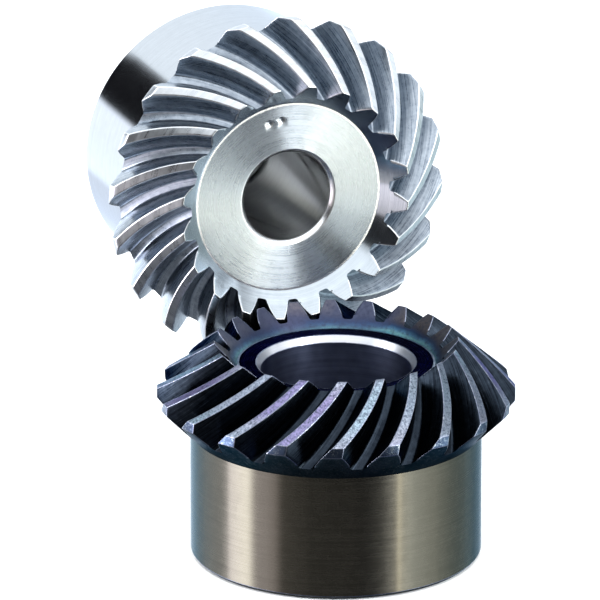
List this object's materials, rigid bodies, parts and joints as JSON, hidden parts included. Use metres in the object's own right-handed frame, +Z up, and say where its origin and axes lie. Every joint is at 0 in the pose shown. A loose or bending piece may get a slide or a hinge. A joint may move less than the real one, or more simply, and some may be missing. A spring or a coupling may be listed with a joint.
{
  "type": "spiral bevel gear pair",
  "caption": "Spiral bevel gear pair in mesh with crossed axes at a right angle: a bright steel gear over a blackened one, both with a plain bore and a long hub.",
  "frame": {"origin": "centre of the lower gear's back face, which is also the centre of the lower arbor's rear end", "axes": "+Z up along the lower gear's axis, +Y along the upper gear's axis from its toe to its hub, +X to the right when facing the upper gear's flat front face; the apex of both pitch cones is at (0, 0, 57 mm)"},
  "size_m": [0.0618, 0.0879, 0.0879],
  "materials": {
    "lower_gear": "blue-black heat treated teeth, machined hub",
    "upper_gear": "bright ground",
    "lower_arbor": "ground",
    "upper_arbor": "ground"
  },
  "bodies": {
    "arbors": {"lower_arbor": "lower_arbor", "upper_arbor": "upper_arbor"},
    "lower_gear": {"lower_gear": "lower_gear"},
    "upper_gear": {"upper_gear": "upper_gear"}
  },
  "joints": [
    {"name": "upper_gear_spin", "type": "hinge", "parent": "arbors", "child": "upper_gear", "pos_m": [0, 0.04, 0.057], "axis": [0, 1, 0], "continuous": true},
    {"name": "lower_gear_spin", "type": "hinge", "parent": "arbors", "child": "lower_gear", "pos_m": [0, 0, 0.017], "axis": [0, 0, 1], "continuous": true}
  ],
  "couplings": [
    {"joint": "lower_gear_spin", "follows": "upper_gear_spin", "ratio": 1}
  ]
}
